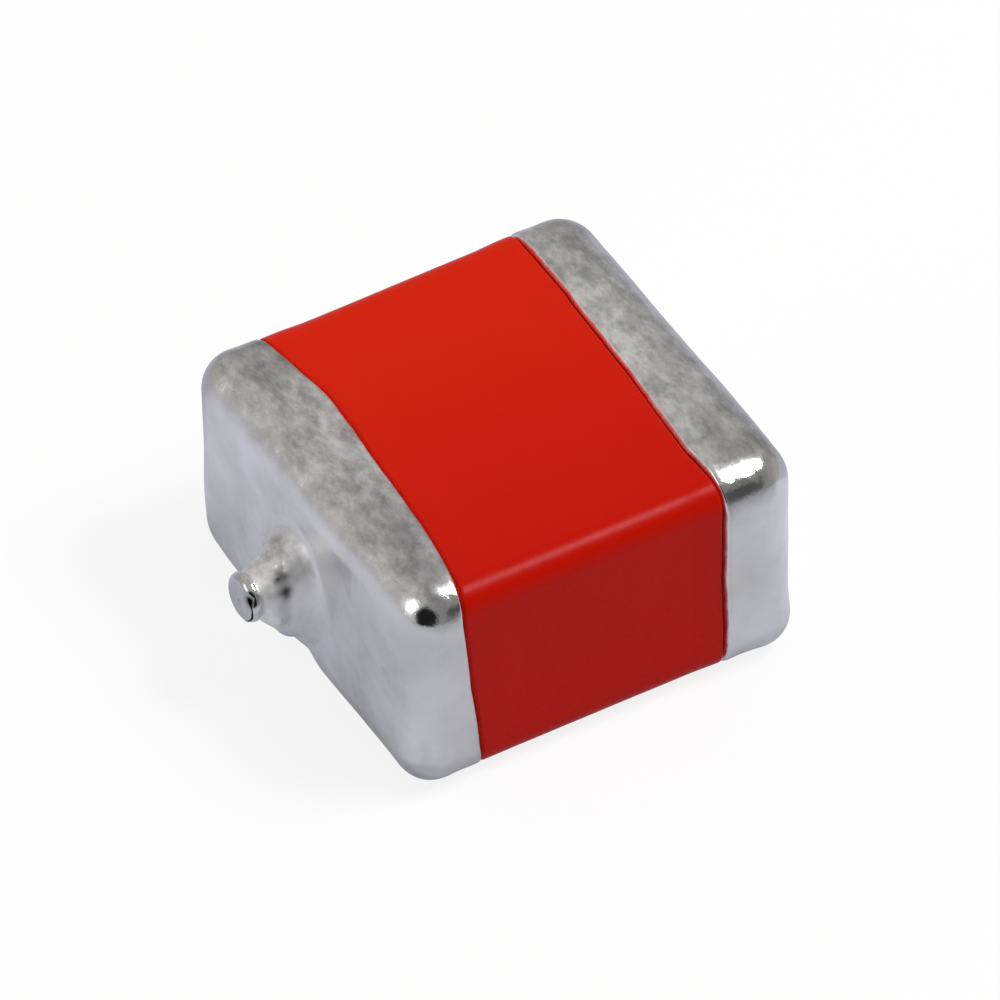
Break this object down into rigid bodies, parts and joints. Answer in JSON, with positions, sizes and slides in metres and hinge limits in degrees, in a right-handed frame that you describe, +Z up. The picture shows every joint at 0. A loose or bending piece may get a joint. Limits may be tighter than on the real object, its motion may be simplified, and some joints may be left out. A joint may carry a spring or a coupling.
{
  "type": "tantalum capacitor",
  "caption": "Conformally coated chip capacitor: a red epoxy body between two plated end caps, with a plated wire nib on the anode end.",
  "frame": {"origin": "on the plane that the two caps rest on, in the middle of the whole part's length and width, nib included", "axes": "+X from the anode (nib) end to the cathode end, +Y across the chip, +Z up from the board"},
  "size_m": [0.007, 0.006, 0.0035],
  "materials": {
    "tin_plating": "satin, faintly mottled electroplated tin over a nickel barrier",
    "silver_termination": "matte cured silver paste",
    "red_epoxy": "satin red filled epoxy",
    "clear_epoxy": "amber epoxy",
    "ptfe": "waxy white",
    "sintered_tantalum": "matte porous sintered metal",
    "tantalum_wire": "drawn wire",
    "manganese_dioxide": "matte black, granular",
    "graphite": "matte dark grey",
    "silver_paint": "matte silver paint",
    "silver_adhesive": "matte silver-filled epoxy"
  },
  "bodies": {
    "root": {"tantalum_pellet": "sintered_tantalum", "anode_wire": "tantalum_wire", "ptfe_washer": "ptfe", "manganese_dioxide_coat": "manganese_dioxide", "graphite_coat": "graphite", "silver_coat": "silver_paint", "epoxy_tower": "clear_epoxy", "cathode_silver_adhesive": "silver_adhesive", "epoxy_coating": "red_epoxy", "anode_silver_base": "silver_termination", "anode_plating": "tin_plating", "cathode_silver_base": "silver_termination", "cathode_plating": "tin_plating"}
  },
  "joints": []
}
